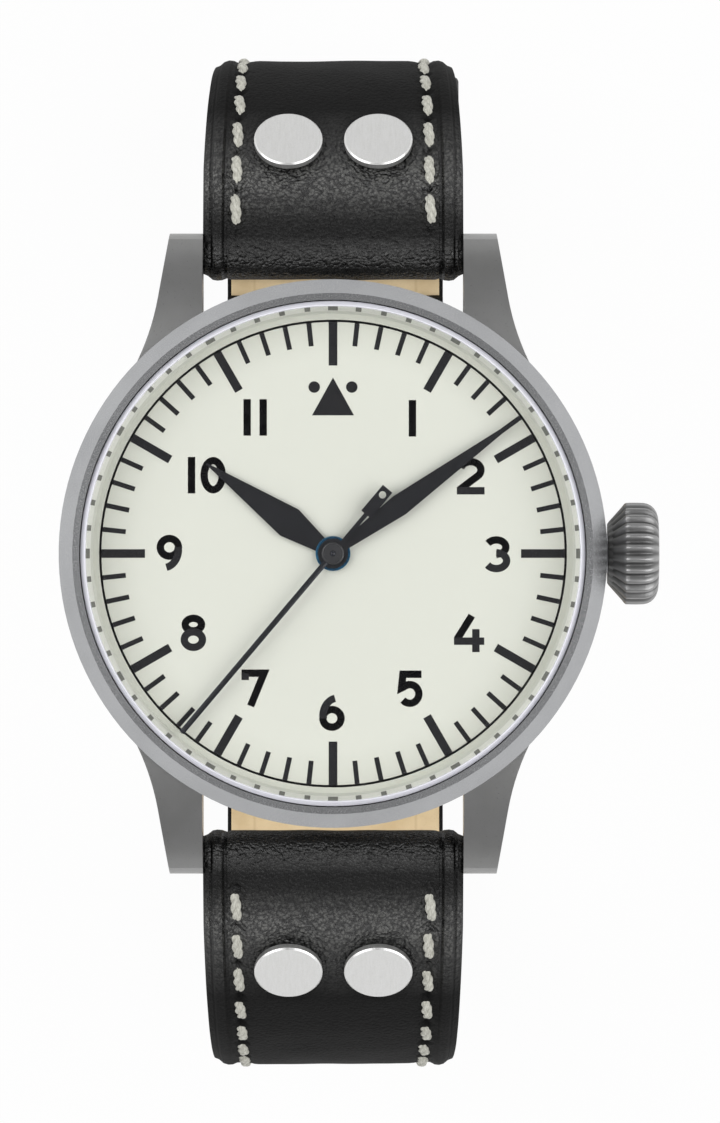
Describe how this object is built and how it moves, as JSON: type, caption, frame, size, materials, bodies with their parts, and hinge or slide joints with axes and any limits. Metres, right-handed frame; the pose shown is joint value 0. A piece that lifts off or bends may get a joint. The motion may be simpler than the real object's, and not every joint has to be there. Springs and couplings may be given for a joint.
{
  "type": "pilot watch",
  "caption": "Round wristwatch with a numbered cream dial, fluted crown, domed crystal and a riveted leather strap with a pin buckle, shown unbuckled.",
  "frame": {"origin": "centre of the case back's outer face", "axes": "+Z leaves through the dial, +Y points to twelve o'clock, +X points to the crown"},
  "size_m": [0.0461, 0.0804, 0.0724],
  "materials": {
    "bead_blasted_steel": "matt, bead blasted",
    "polished_steel": "polished",
    "brushed_rivet_steel": "fine satin",
    "crystal_glass": "clear, domed",
    "gasket_rubber": "matt",
    "clear_gasket": "translucent",
    "cream_dial": "matt lacquer",
    "pale_ring": "matt lacquer",
    "blued_steel": "heat blued",
    "movement_nickel": "plated, fine grained",
    "movement_brass": "gilt",
    "movement_steel": "ground",
    "ruby": "polished",
    "holder_plastic": "moulded",
    "black_leather": "grained, waxed",
    "tan_lining": "smooth"
  },
  "bodies": {
    "case": {"mid_case": "bead_blasted_steel", "bezel": "bead_blasted_steel", "case_back": "bead_blasted_steel", "back_gasket": "gasket_rubber", "crystal": "crystal_glass", "crystal_gasket": "clear_gasket", "flange_ring": "pale_ring", "dial": "cream_dial", "crown_tube": "movement_steel", "main_plate": "movement_nickel", "train_bridge": "movement_nickel", "balance_cock": "movement_nickel", "movement_ring": "holder_plastic", "bridge_screws": "movement_steel", "case_clamps": "movement_steel", "jewels": "ruby", "barrel_arbor": "movement_steel", "rotor_bearing": "movement_steel", "spring_bar_12": "polished_steel", "spring_bar_6": "polished_steel"},
    "seconds": {"fourth_wheel": "movement_brass", "second_hand": "blued_steel"},
    "minutes": {"centre_wheel": "movement_brass", "cannon_pinion": "movement_steel", "minute_hand": "blued_steel"},
    "hours": {"hour_wheel": "movement_brass", "hour_hand": "blued_steel"},
    "minute_wheel": {"minute_wheel": "movement_brass"},
    "third_wheel": {"third_wheel": "movement_brass"},
    "escape_wheel": {"escape_wheel": "movement_steel"},
    "barrel": {"barrel_drum": "movement_brass", "barrel_cover": "movement_brass", "mainspring": "movement_steel"},
    "pallet_fork": {"pallet_fork": "movement_steel"},
    "balance": {"balance_wheel": "movement_brass", "hairspring": "blued_steel"},
    "rotor": {"rotor": "movement_nickel"},
    "winding": {"winding_pinion": "movement_steel", "sliding_pinion": "movement_steel"},
    "crown": {"crown": "bead_blasted_steel", "stem": "movement_steel", "crown_gasket": "gasket_rubber"},
    "strap_12": {"strap_12_leather": "black_leather", "strap_12_lining": "tan_lining", "rivets_12": "brushed_rivet_steel", "rivet_washers_12": "brushed_rivet_steel", "fixed_keeper": "black_leather"},
    "strap_6": {"strap_6_leather": "black_leather", "strap_6_lining": "tan_lining", "rivets_6": "brushed_rivet_steel", "rivet_washers_6": "brushed_rivet_steel"},
    "free_keeper": {"free_keeper": "black_leather"},
    "buckle": {"buckle_frame": "bead_blasted_steel", "buckle_bar": "polished_steel"},
    "tongue": {"buckle_tongue": "bead_blasted_steel"}
  },
  "joints": [
    {"name": "seconds_turn", "type": "hinge", "parent": "case", "child": "seconds", "pos_m": [0, 0, 0.005], "axis": [0, 0, -1], "continuous": true},
    {"name": "minutes_turn", "type": "hinge", "parent": "case", "child": "minutes", "pos_m": [0, 0, 0.005], "axis": [0, 0, -1], "continuous": true},
    {"name": "hours_turn", "type": "hinge", "parent": "case", "child": "hours", "pos_m": [0, 0, 0.005], "axis": [0, 0, -1], "continuous": true},
    {"name": "minute_wheel_turn", "type": "hinge", "parent": "case", "child": "minute_wheel", "pos_m": [0.0013, 0.00225, 0.005], "axis": [0, 0, -1], "continuous": true},
    {"name": "third_wheel_turn", "type": "hinge", "parent": "case", "child": "third_wheel", "pos_m": [-0.00287, -0.0041, 0.005], "axis": [0, 0, -1], "continuous": true},
    {"name": "escape_wheel_turn", "type": "hinge", "parent": "case", "child": "escape_wheel", "pos_m": [0.00248, -0.00429, 0.005], "axis": [0, 0, -1], "continuous": true},
    {"name": "barrel_turn", "type": "hinge", "parent": "case", "child": "barrel", "pos_m": [-0.00113, 0.0064, 0.005], "axis": [0, 0, -1], "continuous": true},
    {"name": "pallet_rock", "type": "hinge", "parent": "case", "child": "pallet_fork", "pos_m": [0.00488, -0.00528, 0.0047], "axis": [0, 0, -1], "range_deg": [-5, 5]},
    {"name": "balance_swing", "type": "hinge", "parent": "case", "child": "balance", "pos_m": [0.00669, -0.00602, 0.0036], "axis": [0, 0, -1], "range_deg": [-270, 270]},
    {"name": "rotor_turn", "type": "hinge", "parent": "case", "child": "rotor", "pos_m": [0, 0, 0.0015], "axis": [0, 0, -1], "continuous": true},
    {"name": "crown_turn", "type": "hinge", "parent": "case", "child": "winding", "pos_m": [0.01, 0, 0.0056], "axis": [1, 0, 0], "continuous": true},
    {"name": "crown_pull", "type": "slide", "parent": "winding", "child": "crown", "axis": [1, 0, 0], "range_m": [0, 0.001]},
    {"name": "strap_12_swing", "type": "hinge", "parent": "case", "child": "strap_12", "pos_m": [0, 0.0229, 0.0026], "axis": [1, 0, 0], "range_deg": [0, 80]},
    {"name": "strap_6_swing", "type": "hinge", "parent": "case", "child": "strap_6", "pos_m": [0, -0.0229, 0.0026], "axis": [-1, 0, 0], "range_deg": [0, 80]},
    {"name": "free_keeper_slide", "type": "hinge", "parent": "strap_12", "child": "free_keeper", "pos_m": [0, 0.01698, -0.0355], "axis": [1, 0, 0], "range_deg": [-9, 9]},
    {"name": "buckle_swing", "type": "hinge", "parent": "strap_12", "child": "buckle", "pos_m": [0, 0.01742, -0.0554], "axis": [1, 0, 0], "range_deg": [-60, 30]},
    {"name": "tongue_swing", "type": "hinge", "parent": "buckle", "child": "tongue", "pos_m": [0, 0.01742, -0.0554], "axis": [1, 0, 0], "range_deg": [0, 45]}
  ],
  "couplings": [
    {"joint": "minutes_turn", "follows": "seconds_turn", "ratio": 0.016667},
    {"joint": "hours_turn", "follows": "seconds_turn", "ratio": 0.0013889},
    {"joint": "minute_wheel_turn", "follows": "seconds_turn", "ratio": -0.0055556},
    {"joint": "third_wheel_turn", "follows": "seconds_turn", "ratio": -0.13333},
    {"joint": "escape_wheel_turn", "follows": "seconds_turn", "ratio": -10},
    {"joint": "barrel_turn", "follows": "seconds_turn", "ratio": -0.0022222}
  ]
}
